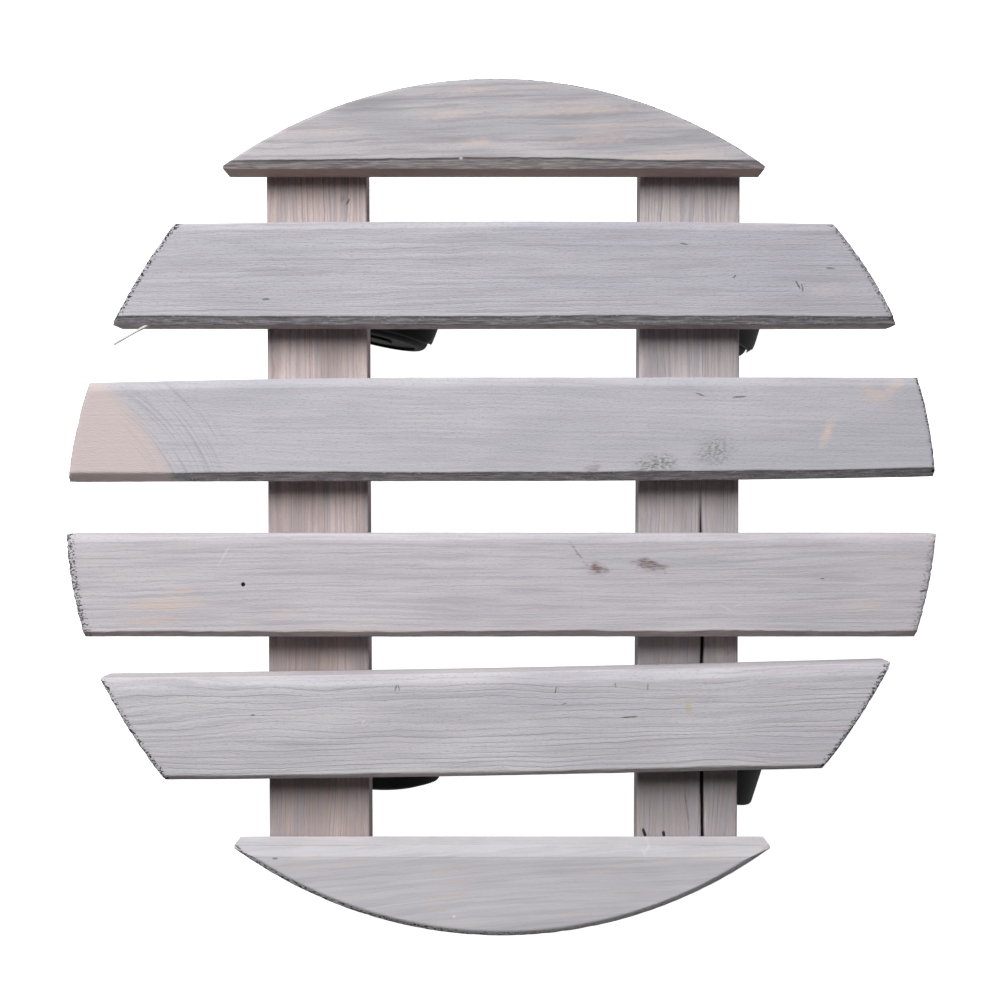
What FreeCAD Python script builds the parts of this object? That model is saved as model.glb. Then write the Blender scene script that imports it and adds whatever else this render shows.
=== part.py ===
import FreeCAD
import Part
import math
import os
from FreeCAD import Vector

# Round slatted plant caddy on four swivel castors, in millimetres.
# +Z is up, +X is right and +Y is back; the origin is on the floor under the centre of the deck.

# Deck slats
DECK_DIAMETER = 380.0
SLAT_WIDTH = 45.5
SLAT_THICKNESS = 15.0
END_SLAT_DEPTH = 41.5
SLAT_TOP_ROUND = 4.0
SLAT_BOTTOM_ROUND = 1.5
RIM_CHAMFER = 0.8

# How far slats sit out of line: slips to the right, one creep to the back, one turn in degrees
BACK_END_SLIP = -2.5
BACK_SLIP = 1.5
FRONT_SLIP = -2.4
FRONT_CREEP = 7.6
FRONT_TURN_ANGLE = 1.1
FRONT_END_SLIP = 0.5

# Battens under the slats
BATTEN_WIDTH = 45.5
BATTEN_THICKNESS = 12.0
BATTEN_SPACING = 167.5
BATTEN_SLIP = 1.1
BATTEN_EDGE_ROUND = 0.8
BATTEN_RIM_INSET = 3.0
BATTEN_LEAN_ANGLE = 0.27

# Countersunk screws that hold the slats from below
SLAT_SCREW_DIAMETER = 3.5
SLAT_SCREW_LENGTH = 22.0
SLAT_SCREW_HEAD_DIAMETER = 7.0
SLAT_SCREW_HEAD_HEIGHT = 2.4
SLAT_SCREW_SPREAD_X = 18.0
SLAT_SCREW_SPREAD_Y = 16.0
TIP_LENGTH = 3.0
RECESS_WIDTH = 0.9
RECESS_SPAN = 3.4
RECESS_DEPTH = 1.1

# Castor plates and their pan-head screws
PLATE_SIZE = 36.0
PLATE_THICKNESS = 2.0
PLATE_CORNER = 4.0
PLATE_HOLE_MARGIN = 5.0
PLATE_HOLE_CLEARANCE = 0.25
CASTOR_SCREW_DIAMETER = 4.0
CASTOR_SCREW_LENGTH = 12.0
CASTOR_SCREW_HEAD_DIAMETER = 7.6
CASTOR_SCREW_HEAD_HEIGHT = 2.3
CASTOR_SCREW_HEAD_ROUND = 1.2
PILOT_DEPTH_SPARE = 0.6

# Castor places: side, end, creep to the back, and the way each one trails at rest,
# in degrees clockwise from +X seen from above
CASTOR_INSET = 3.5
CASTOR_END_DISTANCE = 56.4
FRONT_RIGHT_CREEP = 2.0
CASTOR_PLACES = {
    "castor_back_left": (-1, 1, 0.0, 12.0),
    "castor_back_right": (1, 1, 0.0, 17.0),
    "castor_front_left": (-1, -1, 0.0, 1.0),
    "castor_front_right": (1, -1, FRONT_RIGHT_CREEP, 18.0),
}

# Castor wheels and axle
WHEEL_DIAMETER = 50.0
WHEEL_WIDTH = 16.0
WHEEL_SHOULDER_ROUND = 4.0
WHEEL_INNER_ROUND = 1.2
WHEEL_RIM = 3.4
WHEEL_DISC = 3.6
WHEEL_DISH_DEPTH = 1.2
WHEEL_DISH_MARGIN = 5.5
WHEEL_CENTRE_DIAMETER = 15.0
WHEEL_HUB_WALL = 3.2
WHEEL_RIB = 1.8
WHEEL_RIBS = 6
AXLE_DIAMETER = 6.0
AXLE_CHAMFER = 0.5
AXLE_GROOVE_DEPTH = 0.5
AXLE_GROOVE_WIDTH = 1.8
AXLE_GROOVE_END = 2.5
SNAP_BEAD_HEIGHT = 0.3
SNAP_BEAD_WIDTH = 1.0
RUNNING_CLEARANCE = 0.05
AXLE_END_CLEARANCE = 0.6

# Castor hood, stem and clip
TRAIL = 24.0
STEM_DIAMETER = 8.0
STEM_DEPTH = 22.0
STEM_CHAMFER = 0.8
STEM_COLLAR_DIAMETER = 13.0
STEM_COLLAR_HEIGHT = 1.5
STEM_SPIGOT_DIAMETER = 6.0
STEM_END_CLEARANCE = 0.5
THRUST_GAP = 0.3
BOSS_WALL = 3.0
BOSS_FLOOR = 3.0
NECK_DIAMETER = 20.0
NECK_HEIGHT = 17.0
NECK_ROUND = 1.5
HOOD_GAP = 1.5
HOOD_WALL = 2.0
HOOD_SHOULDER_ROUND = 1.6
HOOD_CORNER_ROUND = 4.0
HOOD_REAR_BOW = 2.0
HOOD_BOW_SPARE = 0.6
HOOD_FRONT_ANGLE = 75.0
HOOD_REAR_ANGLE = 95.0
HOOD_SIDE_SETBACK = 2.0
HOOD_HEADROOM = 4.5
WEB_THICKNESS = 5.0
AXLE_BOSS_WALL = 3.4
WHEEL_SIDE_GAP = 0.9
HUB_GAP = 0.3
CLIP_THICKNESS = 1.2
CLIP_BITE = 0.7
CLIP_STAND = 0.9
CLIP_PLAY = 0.3
CLIP_FROM_END = 4.0
CLIP_OPENING = 40.0

# Place of each slat: rows counted from the centre, then slip, creep and turn
SLAT_PLACES = {
    "slat_back_end": (2.5, BACK_END_SLIP, 0.0, 0.0),
    "slat_back": (1.5, BACK_SLIP, 0.0, 0.0),
    "slat_centre_back": (0.5, 0.0, 0.0, 0.0),
    "slat_centre_front": (-0.5, 0.0, 0.0, 0.0),
    "slat_front": (-1.5, FRONT_SLIP, FRONT_CREEP, FRONT_TURN_ANGLE),
    "slat_front_end": (-2.5, FRONT_END_SLIP, 0.0, 0.0),
}

# Levels and radii that follow from the sizes above
DECK_RADIUS = DECK_DIAMETER / 2
SLAT_ROWS = max(place[0] for place in SLAT_PLACES.values())
SLAT_PITCH = (DECK_RADIUS - END_SLAT_DEPTH + SLAT_WIDTH / 2) / SLAT_ROWS
WHEEL_RADIUS = WHEEL_DIAMETER / 2
AXLE_HEIGHT = WHEEL_RADIUS
AXLE_RADIUS = AXLE_DIAMETER / 2
HOOD_INNER = WHEEL_RADIUS + HOOD_GAP
HOOD_OUTER = HOOD_INNER + HOOD_WALL
PLATE_BOTTOM = AXLE_HEIGHT + HOOD_OUTER + HOOD_HEADROOM
PLATE_TOP = PLATE_BOTTOM + PLATE_THICKNESS
PLATE_HOLE_OFFSET = PLATE_SIZE / 2 - PLATE_HOLE_MARGIN
BATTEN_TOP = PLATE_TOP + BATTEN_THICKNESS
DECK_TOP = BATTEN_TOP + SLAT_THICKNESS
BATTEN_RADIUS = DECK_RADIUS - BATTEN_RIM_INSET
BATTEN_X = BATTEN_SPACING / 2
CASTOR_X = BATTEN_X - CASTOR_INSET
CASTOR_Y = math.sqrt(BATTEN_RADIUS ** 2 - BATTEN_X ** 2) - CASTOR_END_DISTANCE
STEM_RADIUS = STEM_DIAMETER / 2
SOCKET_RADIUS = STEM_RADIUS + RUNNING_CLEARANCE
BOSS_RADIUS = SOCKET_RADIUS + BOSS_WALL
BOSS_TOP = PLATE_BOTTOM - STEM_COLLAR_HEIGHT - THRUST_GAP
STEM_BOTTOM = BOSS_TOP - STEM_DEPTH
SOCKET_BOTTOM = STEM_BOTTOM - STEM_END_CLEARANCE
WHEEL_INSIDE = BOSS_RADIUS + WHEEL_SIDE_GAP
WHEEL_OUTSIDE = WHEEL_INSIDE + WHEEL_WIDTH
BORE_RADIUS = AXLE_RADIUS + RUNNING_CLEARANCE
BORE_END = WHEEL_OUTSIDE - WHEEL_DISC
AXLE_END = BORE_END - AXLE_END_CLEARANCE
GROOVE_MIDDLE = AXLE_END - AXLE_GROOVE_END - AXLE_GROOVE_WIDTH / 2
HOOD_SIDE = WHEEL_OUTSIDE - HOOD_SIDE_SETBACK
CLIP_BOTTOM = STEM_BOTTOM + CLIP_FROM_END
AXLE_POINT = Vector(TRAIL, 0, AXLE_HEIGHT)
UP = Vector(0, 0, 1)
ACROSS = Vector(0, 1, 0)


def upright(radius, bottom, top, x=0.0, y=0.0):
    return Part.makeCylinder(radius, top - bottom, Vector(x, y, bottom), UP)


def crosswise(radius, start, end):
    return Part.makeCylinder(radius, end - start, Vector(TRAIL, start, AXLE_HEIGHT), ACROSS)


def placed(shape, x, y, turn):
    moved = shape.copy()
    moved.rotate(Vector(0, 0, 0), UP, turn)
    moved.translate(Vector(x, y, 0))
    return moved


def turned_point(x, y, turn):
    angle = math.radians(turn)
    return (x * math.cos(angle) - y * math.sin(angle), x * math.sin(angle) + y * math.cos(angle))


def circle_edges(shape, radius, axis, level):
    found = []
    for edge in shape.Edges:
        curve = edge.Curve
        if isinstance(curve, Part.Circle) and abs(curve.Radius - radius) < 1e-6:
            if abs(curve.Center.dot(axis) - level) < 1e-6:
                found.append(edge)
    return found


def plank_section(width, bottom, top, low_round, high_round):
    """Face in the YZ plane: a board's cross-section with rounded corners, centred on Y."""
    half = width / 2
    corners = [
        (half, bottom, low_round, 270),
        (half, top, high_round, 0),
        (-half, top, high_round, 90),
        (-half, bottom, low_round, 180),
    ]
    edges = []
    previous = None
    for y, z, size, start in corners:
        centre = Vector(0, y - math.copysign(size, y), z + size if z == bottom else z - size)
        points = []
        for angle in (start, start + 45, start + 90):
            away = Vector(0, math.cos(math.radians(angle)), math.sin(math.radians(angle)))
            points.append(centre + away * size)
        if previous is not None:
            edges.append(Part.makeLine(previous, points[0]))
        edges.append(Part.Arc(*points).toShape())
        previous = points[2]
    edges.append(Part.makeLine(previous, edges[0].Vertexes[0].Point))
    return Part.Face(Part.Wire(edges))


def rim_disc(radius, bottom, top):
    disc = upright(radius, bottom, top)
    edges = circle_edges(disc, radius, UP, bottom) + circle_edges(disc, radius, UP, top)
    return disc.makeChamfer(RIM_CHAMFER, edges)


def slat_shape(row):
    """Board cut to the round of the deck, in line with its row."""
    section = plank_section(SLAT_WIDTH, BATTEN_TOP, DECK_TOP, SLAT_BOTTOM_ROUND, SLAT_TOP_ROUND)
    plank = section.extrude(Vector(DECK_DIAMETER + SLAT_WIDTH, 0, 0))
    plank.translate(Vector(-(DECK_DIAMETER + SLAT_WIDTH) / 2, row * SLAT_PITCH, 0))
    return plank.common(rim_disc(DECK_RADIUS, BATTEN_TOP, DECK_TOP)).Solids[0]


def slat_placed(row, shift_x, shift_y, turn):
    """Slat as it was screwed down: turned about the middle of its row, then shifted."""
    slat = slat_shape(row)
    slat.rotate(Vector(0, row * SLAT_PITCH, 0), UP, turn)
    slat.translate(Vector(shift_x, shift_y, 0))
    return slat


def batten_shape(side):
    section = plank_section(BATTEN_WIDTH, PLATE_TOP, BATTEN_TOP, BATTEN_EDGE_ROUND, BATTEN_EDGE_ROUND)
    plank = section.extrude(Vector(DECK_DIAMETER, 0, 0))
    plank.translate(Vector(-DECK_RADIUS, 0, 0))
    plank.rotate(Vector(0, 0, 0), UP, 90 - side * BATTEN_LEAN_ANGLE)
    plank.translate(Vector(side * BATTEN_X + BATTEN_SLIP, 0, 0))
    return plank.common(rim_disc(BATTEN_RADIUS, PLATE_TOP, BATTEN_TOP)).Solids[0]


def cross_recess(level):
    """Cross-shaped driver recess, open at its lower end."""
    bars = []
    for along, over in ((RECESS_SPAN, RECESS_WIDTH), (RECESS_WIDTH, RECESS_SPAN)):
        bars.append(Part.makeBox(along, over, RECESS_DEPTH, Vector(-along / 2, -over / 2, level)))
    return bars[0].fuse(bars[1])


def slat_screw():
    """Countersunk screw with its head flush with the underside of the batten."""
    head_top = PLATE_TOP + SLAT_SCREW_HEAD_HEIGHT
    tip = PLATE_TOP + SLAT_SCREW_LENGTH
    shank = SLAT_SCREW_DIAMETER / 2
    rim = SLAT_SCREW_HEAD_DIAMETER / 2
    head = Part.makeCone(rim, shank, SLAT_SCREW_HEAD_HEIGHT, Vector(0, 0, PLATE_TOP), UP)
    point = Part.makeCone(shank, shank / 6, TIP_LENGTH, Vector(0, 0, tip - TIP_LENGTH), UP)
    return head.fuse([upright(shank, head_top, tip - TIP_LENGTH), point]).removeSplitter()


def castor_screw():
    """Pan-head screw through the castor plate."""
    head_bottom = PLATE_BOTTOM - CASTOR_SCREW_HEAD_HEIGHT
    tip = PLATE_BOTTOM + CASTOR_SCREW_LENGTH
    shank = CASTOR_SCREW_DIAMETER / 2
    head = upright(CASTOR_SCREW_HEAD_DIAMETER / 2, head_bottom, PLATE_BOTTOM)
    rim = circle_edges(head, CASTOR_SCREW_HEAD_DIAMETER / 2, UP, head_bottom)
    head = head.makeFillet(CASTOR_SCREW_HEAD_ROUND, rim)
    point = Part.makeCone(shank, shank / 6, TIP_LENGTH, Vector(0, 0, tip - TIP_LENGTH), UP)
    body = head.fuse([upright(shank, PLATE_BOTTOM, tip - TIP_LENGTH), point]).removeSplitter()
    return body.cut(cross_recess(head_bottom))


def slat_screw_points():
    """Two screws where each slat crosses each batten, as (x, y, turn)."""
    points = []
    for row, shift_x, shift_y, turn in SLAT_PLACES.values():
        for side in (-1, 1):
            spread_x = SLAT_SCREW_SPREAD_X / 2
            spread_y = SLAT_SCREW_SPREAD_Y / 2
            middle = row * SLAT_PITCH + shift_y
            if abs(row) == SLAT_ROWS:
                slat_edge = SLAT_ROWS * SLAT_PITCH - SLAT_WIDTH / 2
                batten_end = math.sqrt(BATTEN_RADIUS ** 2 - (BATTEN_X + spread_x) ** 2)
                middle = math.copysign((slat_edge + batten_end) / 2, row)
                spread_y = 0.0
            for sign in (-1, 1):
                x, y = turned_point(side * BATTEN_X + sign * spread_x, sign * side * spread_y, turn)
                points.append((x + BATTEN_SLIP, y + middle, 30.0 * sign * side + 20.0 * row))
    return points


def castor_places():
    """Each castor as name: (x, y, turn about Z)."""
    places = {}
    for name, (side, end, creep, trail) in CASTOR_PLACES.items():
        places[name] = (side * CASTOR_X, end * CASTOR_Y + creep, -trail)
    return places


def castor_screw_points():
    points = []
    for x, y, turn in castor_places().values():
        for sx in (-1, 1):
            for sy in (-1, 1):
                hole_x = x + sx * PLATE_HOLE_OFFSET
                hole_y = y + sy * PLATE_HOLE_OFFSET
                points.append((hole_x, hole_y, turn + 25.0 * sx + 40.0 * sy))
    return points


def plate_shape():
    half = PLATE_SIZE / 2
    plate = Part.makeBox(PLATE_SIZE, PLATE_SIZE, PLATE_THICKNESS, Vector(-half, -half, PLATE_BOTTOM))
    corners = [edge for edge in plate.Edges if abs(edge.tangentAt(edge.FirstParameter).z) > 0.9]
    plate = plate.makeFillet(PLATE_CORNER, corners)
    hole = CASTOR_SCREW_DIAMETER / 2 + PLATE_HOLE_CLEARANCE
    cuts = [upright(STEM_SPIGOT_DIAMETER / 2, PLATE_BOTTOM, PLATE_TOP)]
    for x in (-PLATE_HOLE_OFFSET, PLATE_HOLE_OFFSET):
        for y in (-PLATE_HOLE_OFFSET, PLATE_HOLE_OFFSET):
            cuts.append(upright(hole, PLATE_BOTTOM, PLATE_TOP, x, y))
    return plate.cut(cuts)


def stem_shape():
    """Stem riveted flush into the plate, with a collar to carry the load and a groove for the clip."""
    shaft = upright(STEM_RADIUS, STEM_BOTTOM, PLATE_BOTTOM)
    shaft = shaft.makeChamfer(STEM_CHAMFER, circle_edges(shaft, STEM_RADIUS, UP, STEM_BOTTOM))
    collar = upright(STEM_COLLAR_DIAMETER / 2, PLATE_BOTTOM - STEM_COLLAR_HEIGHT, PLATE_BOTTOM)
    spigot = upright(STEM_SPIGOT_DIAMETER / 2, PLATE_BOTTOM, PLATE_TOP)
    stem = shaft.fuse([collar, spigot]).removeSplitter()
    groove = upright(STEM_COLLAR_DIAMETER / 2, CLIP_BOTTOM, CLIP_BOTTOM + CLIP_THICKNESS)
    groove = groove.cut(upright(STEM_RADIUS - CLIP_BITE, CLIP_BOTTOM, CLIP_BOTTOM + CLIP_THICKNESS))
    return stem.cut(groove)


def clip_shape():
    """Open spring ring seated in the groove of the stem."""
    span = 360 - CLIP_OPENING
    start = Vector(0, 0, CLIP_BOTTOM)
    ring = Part.makeCylinder(STEM_RADIUS + CLIP_STAND, CLIP_THICKNESS, start, UP, span)
    return ring.cut(upright(STEM_RADIUS - CLIP_BITE, CLIP_BOTTOM, CLIP_BOTTOM + CLIP_THICKNESS))


def hood_arch():
    """Guard over both wheels, rounded along its two outer shoulders and bowed across its rear edge."""
    low = AXLE_HEIGHT + HOOD_INNER
    high = AXLE_HEIGHT + HOOD_OUTER
    size = HOOD_SHOULDER_ROUND
    corner = size * (1 - math.sqrt(0.5))
    edges = [
        Part.makeLine(Vector(TRAIL, -HOOD_SIDE, low), Vector(TRAIL, HOOD_SIDE, low)),
        Part.makeLine(Vector(TRAIL, HOOD_SIDE, low), Vector(TRAIL, HOOD_SIDE, high - size)),
        Part.Arc(
            Vector(TRAIL, HOOD_SIDE, high - size),
            Vector(TRAIL, HOOD_SIDE - corner, high - corner),
            Vector(TRAIL, HOOD_SIDE - size, high),
        ).toShape(),
        Part.makeLine(Vector(TRAIL, HOOD_SIDE - size, high), Vector(TRAIL, size - HOOD_SIDE, high)),
        Part.Arc(
            Vector(TRAIL, size - HOOD_SIDE, high),
            Vector(TRAIL, corner - HOOD_SIDE, high - corner),
            Vector(TRAIL, -HOOD_SIDE, high - size),
        ).toShape(),
        Part.makeLine(Vector(TRAIL, -HOOD_SIDE, high - size), Vector(TRAIL, -HOOD_SIDE, low)),
    ]
    section = Part.Face(Part.Wire(edges))
    section.rotate(AXLE_POINT, ACROSS, -HOOD_FRONT_ANGLE)
    arch = section.revolve(AXLE_POINT, ACROSS, HOOD_FRONT_ANGLE + HOOD_REAR_ANGLE)
    front = TRAIL - HOOD_OUTER
    rear = TRAIL + HOOD_OUTER
    rear_right = Vector(rear - HOOD_REAR_BOW, -HOOD_SIDE, 0)
    rear_left = Vector(rear - HOOD_REAR_BOW, HOOD_SIDE, 0)
    rear_edge = Part.Arc(rear_right, Vector(rear + HOOD_BOW_SPARE, 0, 0), rear_left).toShape()
    sides = [rear_left, Vector(front, HOOD_SIDE, 0), Vector(front, -HOOD_SIDE, 0), rear_right]
    plan = Part.Wire([rear_edge] + Part.makePolygon(sides).Edges)
    outline = Part.Face(plan).extrude(Vector(0, 0, high))
    corners = [edge for edge in outline.Edges if edge.CenterOfMass.x > TRAIL and edge.BoundBox.ZLength > size]
    corners = [edge for edge in corners if edge.BoundBox.YLength < size]
    return arch.common(outline.makeFillet(HOOD_CORNER_ROUND, corners))


def hood_shape():
    """Arch, neck, web and both bosses as one moulding, with the stem socket and the axle bore."""
    neck = upright(NECK_DIAMETER / 2, BOSS_TOP - NECK_HEIGHT, BOSS_TOP)
    neck = neck.makeFillet(NECK_ROUND, circle_edges(neck, NECK_DIAMETER / 2, UP, BOSS_TOP))
    neck = neck.cut(crosswise(HOOD_INNER, -NECK_DIAMETER, NECK_DIAMETER))
    web_start = Vector(TRAIL, -WEB_THICKNESS / 2, AXLE_HEIGHT)
    web_radius = HOOD_INNER + HOOD_WALL / 2
    web_span = HOOD_FRONT_ANGLE + HOOD_REAR_ANGLE
    web = Part.makeCylinder(web_radius, WEB_THICKNESS, web_start, ACROSS, web_span)
    first = web.CenterOfMass - AXLE_POINT
    first_angle = math.degrees(math.atan2(first.x, first.z))
    web.rotate(AXLE_POINT, ACROSS, (HOOD_REAR_ANGLE - HOOD_FRONT_ANGLE) / 2 - first_angle)
    boss = upright(BOSS_RADIUS, SOCKET_BOTTOM - BOSS_FLOOR, BOSS_TOP - NECK_ROUND)
    axle_boss = crosswise(AXLE_RADIUS + AXLE_BOSS_WALL, HUB_GAP - WHEEL_INSIDE, WHEEL_INSIDE - HUB_GAP)
    body = hood_arch().fuse([neck, web, boss, axle_boss])
    clip_room = upright(
        STEM_RADIUS + CLIP_STAND + CLIP_PLAY,
        CLIP_BOTTOM - CLIP_PLAY,
        CLIP_BOTTOM + CLIP_THICKNESS + CLIP_PLAY,
    )
    cuts = [upright(SOCKET_RADIUS, SOCKET_BOTTOM, BOSS_TOP), clip_room]
    cuts.append(crosswise(AXLE_RADIUS, -WHEEL_INSIDE, WHEEL_INSIDE))
    return body.cut(cuts).removeSplitter().Solids[0]


def axle_shape():
    """Axle pressed into the hood, with a snap groove near each end."""
    axle = crosswise(AXLE_RADIUS, -AXLE_END, AXLE_END)
    for side in (-1, 1):
        axle = axle.makeChamfer(AXLE_CHAMFER, circle_edges(axle, AXLE_RADIUS, ACROSS, side * AXLE_END))
        start = side * GROOVE_MIDDLE - AXLE_GROOVE_WIDTH / 2
        groove = crosswise(AXLE_DIAMETER, start, start + AXLE_GROOVE_WIDTH)
        groove = groove.cut(crosswise(AXLE_RADIUS - AXLE_GROOVE_DEPTH, start, start + AXLE_GROOVE_WIDTH))
        axle = axle.cut(groove)
    return axle


def wheel_shape():
    """Wheel on the +Y side of the hood: closed outside, ribbed inside, snapped onto the axle."""
    wheel = crosswise(WHEEL_RADIUS, WHEEL_INSIDE, WHEEL_OUTSIDE)
    wheel = wheel.makeFillet(WHEEL_SHOULDER_ROUND, circle_edges(wheel, WHEEL_RADIUS, ACROSS, WHEEL_OUTSIDE))
    wheel = wheel.makeFillet(WHEEL_INNER_ROUND, circle_edges(wheel, WHEEL_RADIUS, ACROSS, WHEEL_INSIDE))
    hub_radius = BORE_RADIUS + WHEEL_HUB_WALL
    rim_inside = WHEEL_RADIUS - WHEEL_RIM
    hollow = crosswise(rim_inside, WHEEL_INSIDE, BORE_END).cut(crosswise(hub_radius, WHEEL_INSIDE, BORE_END))
    for index in range(WHEEL_RIBS):
        corner = Vector(TRAIL - WHEEL_RIB / 2, WHEEL_INSIDE + WHEEL_RIM, AXLE_HEIGHT)
        rib = Part.makeBox(WHEEL_RIB, BORE_END, WHEEL_RADIUS, corner)
        rib.rotate(AXLE_POINT, ACROSS, 360.0 * index / WHEEL_RIBS)
        hollow = hollow.cut(rib)
    dish = crosswise(WHEEL_RADIUS - WHEEL_DISH_MARGIN, WHEEL_OUTSIDE - WHEEL_DISH_DEPTH, WHEEL_OUTSIDE)
    dish = dish.cut(crosswise(WHEEL_CENTRE_DIAMETER / 2, WHEEL_OUTSIDE - WHEEL_DISH_DEPTH, WHEEL_OUTSIDE))
    bead_start = GROOVE_MIDDLE - SNAP_BEAD_WIDTH / 2
    bead = crosswise(AXLE_DIAMETER, bead_start, bead_start + SNAP_BEAD_WIDTH)
    bead = bead.cut(crosswise(BORE_RADIUS - SNAP_BEAD_HEIGHT, bead_start, bead_start + SNAP_BEAD_WIDTH))
    bore = crosswise(BORE_RADIUS, WHEEL_INSIDE, BORE_END).cut(bead)
    return wheel.cut([hollow, dish, bore])


def opposite(wheel):
    """The same wheel on the other side of the hood."""
    other = wheel.copy()
    other.rotate(AXLE_POINT, UP, 180)
    return other


def castor_nodes():
    """Every castor piece in its place; the plate stays square to the deck, the rest trails."""
    plate = plate_shape()
    wheel = wheel_shape()
    trailing = {
        "stem": stem_shape(),
        "clip": clip_shape(),
        "hood": hood_shape(),
        "axle": axle_shape(),
        "wheel_right": wheel,
        "wheel_left": opposite(wheel),
    }
    nodes = {}
    for name, (x, y, turn) in castor_places().items():
        nodes[name + "_plate"] = placed(plate, x, y, 0.0)
        for piece, shape in trailing.items():
            nodes[name + "_" + piece] = placed(shape, x, y, turn)
    return nodes


def deck_nodes():
    """Slats, battens and screws; the wood is bored to suit the screws."""
    slat_points = slat_screw_points()
    castor_points = castor_screw_points()
    plain = slat_screw()
    recessed = plain.cut(cross_recess(PLATE_TOP))
    slat_bores = [placed(plain, *point) for point in slat_points]
    pilot_end = PLATE_BOTTOM + CASTOR_SCREW_LENGTH + PILOT_DEPTH_SPARE
    pilot = upright(CASTOR_SCREW_DIAMETER / 2, PLATE_TOP, pilot_end)
    castor_bores = [placed(pilot, *point) for point in castor_points]
    nodes = {}
    for name, place in SLAT_PLACES.items():
        nodes[name] = slat_placed(*place).cut(slat_bores)
    for name, side in (("batten_left", -1), ("batten_right", 1)):
        nodes[name] = batten_shape(side).cut(slat_bores + castor_bores)
    nodes["slat_screws"] = Part.makeCompound([placed(recessed, *point) for point in slat_points])
    pan = castor_screw()
    nodes["castor_screws"] = Part.makeCompound([placed(pan, *point) for point in castor_points])
    return nodes


def main():
    os.makedirs("parts", exist_ok=True)
    nodes = deck_nodes()
    nodes.update(castor_nodes())
    for name, shape in nodes.items():
        shape.exportStep("parts/" + name + ".step")


if __name__ == "__main__":
    main()
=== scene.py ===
import cmath
import math

import bpy
import numpy as np
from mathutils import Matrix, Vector


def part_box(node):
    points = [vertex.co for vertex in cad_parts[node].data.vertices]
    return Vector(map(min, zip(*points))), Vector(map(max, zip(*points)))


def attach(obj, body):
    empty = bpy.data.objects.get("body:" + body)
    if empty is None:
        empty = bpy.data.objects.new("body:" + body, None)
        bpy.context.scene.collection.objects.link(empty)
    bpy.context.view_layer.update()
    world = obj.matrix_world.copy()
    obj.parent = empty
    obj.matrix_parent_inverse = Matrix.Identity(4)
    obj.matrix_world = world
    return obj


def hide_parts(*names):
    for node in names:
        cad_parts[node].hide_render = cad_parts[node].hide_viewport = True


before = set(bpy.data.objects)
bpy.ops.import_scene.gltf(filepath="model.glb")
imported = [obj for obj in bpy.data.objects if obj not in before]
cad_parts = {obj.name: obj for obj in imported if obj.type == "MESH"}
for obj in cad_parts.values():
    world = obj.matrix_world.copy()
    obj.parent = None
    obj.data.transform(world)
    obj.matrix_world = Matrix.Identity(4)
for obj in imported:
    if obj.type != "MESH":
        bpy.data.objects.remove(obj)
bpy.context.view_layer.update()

# Round slatted plant caddy: boards with worn, washed grain over four plain castors.
# Boards are worked out in millimetres on the deck's plane, x to the right and y to the back.

MM = 0.001


def box_mm(node):
    low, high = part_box(node)
    return np.array(low) / MM, np.array(high) / MM


# Sizes read from the frame
SLAT_LOW, SLAT_HIGH = box_mm("slat_centre_back")
LEFT_LOW, LEFT_HIGH = box_mm("batten_left")
RIGHT_LOW, RIGHT_HIGH = box_mm("batten_right")
END_LOW, END_HIGH = box_mm("slat_back_end")
DECK_TOP = SLAT_HIGH[2]
SLAT_BOTTOM = SLAT_LOW[2]
SLAT_WIDTH = SLAT_HIGH[1] - SLAT_LOW[1]
CENTRE_ROW = (SLAT_LOW[1] + SLAT_HIGH[1]) / 2
OUTER_ROW = 3 * CENTRE_ROW
DECK_RADIUS = END_HIGH[1]
END_SLAT_EDGE = END_LOW[1]
BATTEN_BOTTOM = LEFT_LOW[2]
LEFT_BATTEN = complex((LEFT_LOW[0] + LEFT_HIGH[0]) / 2, 0)
RIGHT_BATTEN = complex((RIGHT_LOW[0] + RIGHT_HIGH[0]) / 2, 0)

# Sizes as in the frame: batten ends and lean, and how the slats were screwed down out of line
BATTEN_RADIUS = DECK_RADIUS - 3.0
BATTEN_LEAN = 0.27
BACK_END_SHIFT = -2.5
BACK_SHIFT = 1.5
FRONT_SHIFT = complex(-2.4, 7.6)
FRONT_TURN = 1.1
FRONT_END_SHIFT = 0.5

# Arcs of the sawn ends: radius, and for the two end slats how far its centre lies beyond the deck's
DECK_ARC = (DECK_RADIUS, None)
BATTEN_ARC = (BATTEN_RADIUS, None)
BACK_END_ARC = (202.0, 14.0)
FRONT_END_ARC = (196.0, 8.0)
TIP_CUT = 1.6

# Points of a board's surface: their spacing, its growth away from edges, and rows by share of the height
ALONG_STEP = 3.0
ACROSS_STEP = 0.66
END_STEP = 0.4
EDGE_STEP = 0.15
STEP_GROWTH = 1.45
UPRIGHT_ROWS = (0.0, 0.08, 0.28, 0.5, 0.72, 0.92, 1.0)

# Edges and ends that every board has: lengths in millimetres, and shares
BOTTOM_EASE = 1.5
LEAST_HEIGHT = 0.2
EDGE_WAVE = 38
RIPPLE_WAVE = 4.5
RIPPLE_SHARE = 0.3
BELLY_SQUARENESS = 4
CHIP_ACROSS, CHIP_ALONG = 1.5, 3
CHIP_START = 0.1
CHIP_FADE = 0.9
END_ROUGHNESS = 0.5
ROUGH_FADE = 0.7
RAGGED_ACROSS, RAGGED_UP = 1.3, 1.6
SAWN_OUT = 0.12
SAWN_SPREAD = 0.10
SAWN_ALONG, SAWN_UP = 5, 2.2

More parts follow.
